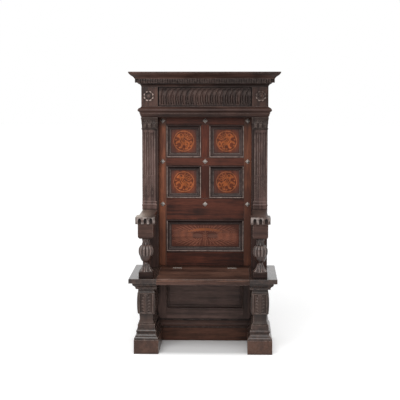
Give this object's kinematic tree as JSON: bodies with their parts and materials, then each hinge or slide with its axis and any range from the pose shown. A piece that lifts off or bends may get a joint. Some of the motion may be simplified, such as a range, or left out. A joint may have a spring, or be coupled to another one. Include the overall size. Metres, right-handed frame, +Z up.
{
  "type": "throne",
  "caption": "Tall walnut throne: dentil cornice, strigil frieze, fluted pilasters, inlaid panelled back, arms on carved balusters, tip-up seat, moulded legs on runner feet.",
  "frame": {"origin": "on the floor under the middle of the overall box", "axes": "+Z up, +Y to the rear, the sitter faces -Y, +X to the right as seen from the front"},
  "size_m": [1.11, 0.64, 2],
  "materials": {
    "dark_walnut": "old waxed dark walnut",
    "red_walnut": "waxed reddish walnut",
    "pilaster_walnut": "worn lighter walnut",
    "rear_pine": "stained softwood",
    "inlay": "orange-brown marquetry",
    "stud_iron": "grey worn iron",
    "hinge_iron": "rubbed iron"
  },
  "bodies": {
    "frame": {"apron_moulding": "dark_walnut", "apron_panel": "dark_walnut", "apron_rails": "red_walnut", "apron_stiles": "red_walnut", "architrave": "dark_walnut", "arm_block_left": "dark_walnut", "arm_block_right": "dark_walnut", "arm_rest_left": "dark_walnut", "arm_rest_right": "dark_walnut", "back_muntins": "red_walnut", "back_post_left": "dark_walnut", "back_post_right": "dark_walnut", "back_rails": "red_walnut", "back_stiles": "red_walnut", "baluster_base_left": "dark_walnut", "baluster_base_right": "dark_walnut", "baluster_left": "dark_walnut", "baluster_right": "dark_walnut", "base_moulding": "dark_walnut", "base_rear_board": "rear_pine", "bed_moulding": "dark_walnut", "cornice_top_board": "rear_pine", "crown_moulding": "dark_walnut", "dentil_course": "dark_walnut", "diamond_studs": "stud_iron", "foot_runner_left": "dark_walnut", "foot_runner_right": "dark_walnut", "frieze_blocks": "dark_walnut", "frieze_panel": "dark_walnut", "hinge_frame_leaves": "hinge_iron", "hinge_pins": "hinge_iron", "leg_base_left": "dark_walnut", "leg_base_right": "dark_walnut", "leg_cap_left": "dark_walnut", "leg_cap_right": "dark_walnut", "leg_carvings": "dark_walnut", "leg_die_left": "dark_walnut", "leg_die_right": "dark_walnut", "lower_inlay": "inlay", "lower_panel": "dark_walnut", "panel_mouldings": "dark_walnut", "pilaster_base_left": "pilaster_walnut", "pilaster_base_right": "pilaster_walnut", "pilaster_capital_left": "pilaster_walnut", "pilaster_capital_right": "pilaster_walnut", "pilaster_shaft_left": "pilaster_walnut", "pilaster_shaft_right": "pilaster_walnut", "plinth_board": "red_walnut", "rear_boards": "rear_pine", "rosettes": "dark_walnut", "roundel_inlays": "inlay", "roundel_panels": "dark_walnut", "seat_bearers": "red_walnut", "seat_front_rail": "red_walnut", "seat_ledge_left": "dark_walnut", "seat_ledge_right": "dark_walnut", "seat_rear_strip": "red_walnut"},
    "seat": {"seat_board": "red_walnut", "seat_battens": "red_walnut", "hinge_seat_leaves": "hinge_iron"}
  },
  "joints": [
    {"name": "seat_lift", "type": "hinge", "parent": "frame", "child": "seat", "pos_m": [0, 0.167, 0.545], "axis": [-1, 0, 0], "range_deg": [0, 100]}
  ]
}
